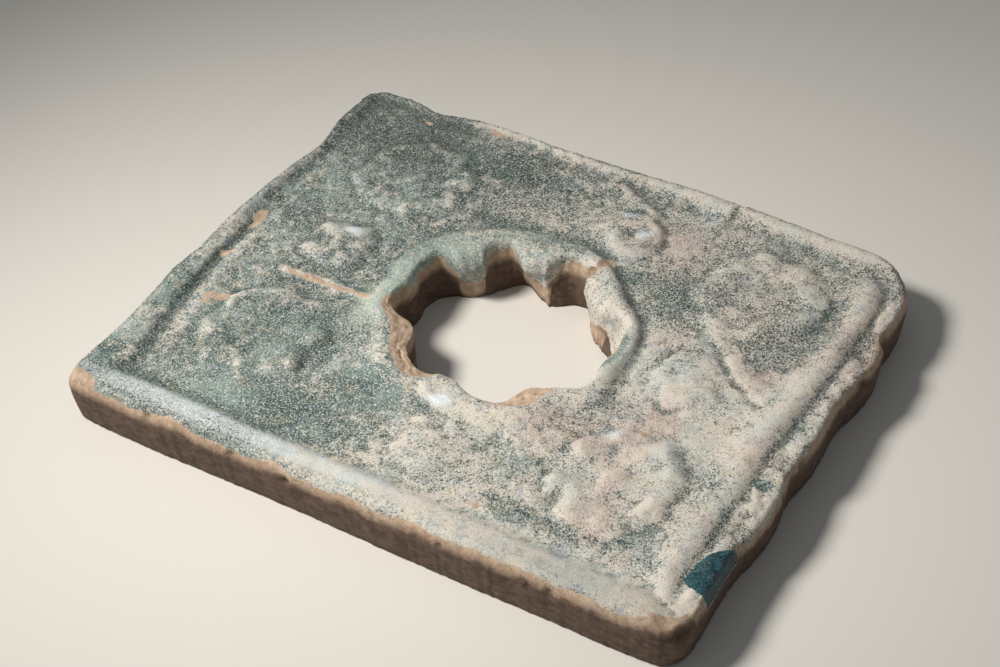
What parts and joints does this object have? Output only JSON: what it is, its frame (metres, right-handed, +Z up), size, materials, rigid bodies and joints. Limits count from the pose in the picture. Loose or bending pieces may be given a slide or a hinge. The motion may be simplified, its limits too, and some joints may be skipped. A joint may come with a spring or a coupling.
{
  "type": "glazed ceramic tile",
  "caption": "Thick rectangular glazed earthenware tile with raised borders, rosette medallions near its corners and a lobed opening inside a raised ring.",
  "frame": {"origin": "on the underside, below the middle of the tile's outer box", "axes": "+X along the tile's length, +Y across its width from the front edge to the back edge, +Z up out of the glazed face"},
  "size_m": [0.411, 0.334, 0.035],
  "materials": {
    "weathered_glaze": "satin"
  },
  "bodies": {
    "root": {"tile": "weathered_glaze"}
  },
  "joints": []
}
